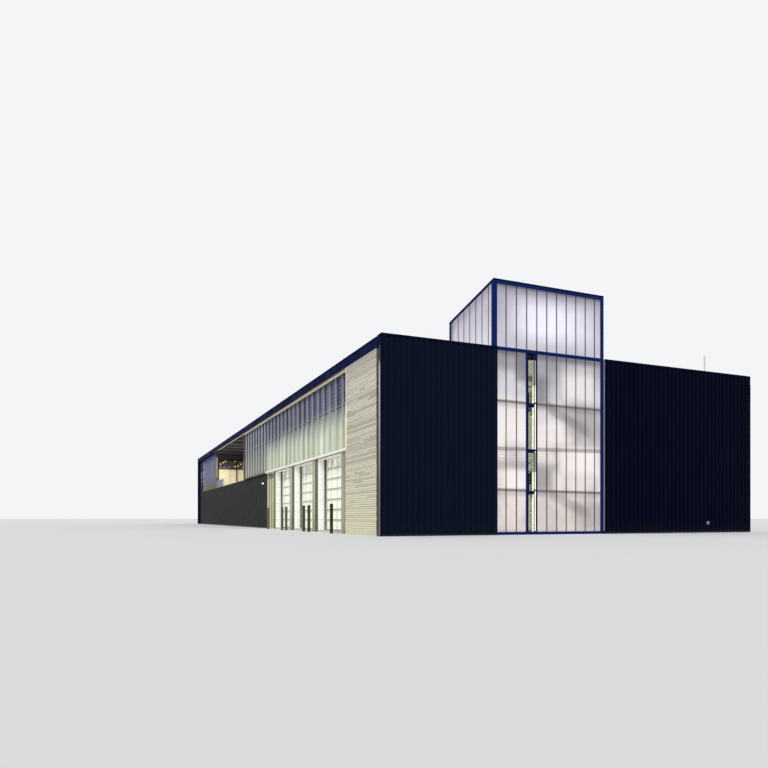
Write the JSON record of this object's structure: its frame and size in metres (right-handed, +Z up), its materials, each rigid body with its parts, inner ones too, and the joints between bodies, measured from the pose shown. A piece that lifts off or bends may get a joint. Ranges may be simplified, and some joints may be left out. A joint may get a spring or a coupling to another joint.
{
  "type": "Fire station building, scale model 1:2",
  "caption": "Dark ribbed-metal station with a glowing translucent stair tower, stone corners, glazed sectional vehicle doors, a glass band with fins and a roofed upper terrace.",
  "frame": {"origin": "Centre of the footprint at ground level, on the underside of the building.", "axes": "X to the right along the front, Y from the front to the rear, Z up."},
  "size_m": [13.225, 36.93, 6.825],
  "materials": {
    "concrete": "matt cast concrete",
    "roof_membrane": "matt grey roofing",
    "navy_metal": "satin navy paint",
    "black_cladding": "satin near-black paint on ribbed sheet",
    "wall_core": "matt dark lining",
    "corner_trim": "satin bright trim",
    "translucent_panel": "milky multiwall sheet with a soft sheen",
    "tower_roof": "matt standing sheet",
    "clear_glass": "clear, slightly green",
    "stair_steel": "satin grey paint",
    "stone": "split-face thin courses",
    "fin_metal": "satin light grey paint",
    "pier_metal": "satin olive grey paint",
    "door_metal": "satin white paint",
    "channel_glass": "obscured ribbed glass",
    "grey_panel": "satin grey-blue paint on ribbed sheet",
    "terrace_metal": "matt dark panels",
    "post_paint": "satin dark olive paint",
    "fitting_metal": "satin"
  },
  "bodies": {
    "root": {"ground_slab": "concrete", "upper_floor": "concrete", "roof_deck": "roof_membrane", "fascias": "navy_metal", "front_walls": "wall_core", "front_cladding": "black_cladding", "corner_trims": "corner_trim", "rear_wall": "black_cladding", "tower_frame": "navy_metal", "tower_lower_panels": "translucent_panel", "tower_upper_panels": "translucent_panel", "tower_side_panels": "translucent_panel", "tower_roof": "tower_roof", "slot_window_frame": "navy_metal", "slot_window_glass": "clear_glass", "stair_back_wall": "stone", "stair_landings": "concrete", "stair_flight_1": "stair_steel", "stair_flight_2": "stair_steel", "stair_flight_3": "stair_steel", "stair_guards": "stair_steel", "stone_walls": "stone", "band_glass": "clear_glass", "band_fins": "fin_metal", "bay_piers": "pier_metal", "bay_doors_left": "door_metal", "bay_doors_right": "door_metal", "bay_door_panes": "clear_glass", "channel_walls": "channel_glass", "lower_walls": "black_cladding", "far_panels_left": "grey_panel", "upper_panels_right": "grey_panel", "terrace_walls": "terrace_metal", "terrace_window_frame": "terrace_metal", "terrace_window_glass": "clear_glass", "terrace_ceiling": "terrace_metal", "terrace_guard": "clear_glass", "corner_window_frame": "terrace_metal", "corner_window_glass": "clear_glass", "guard_posts": "post_paint", "wall_light": "fitting_metal", "wall_box": "fitting_metal", "roof_mast": "fitting_metal"}
  },
  "joints": []
}
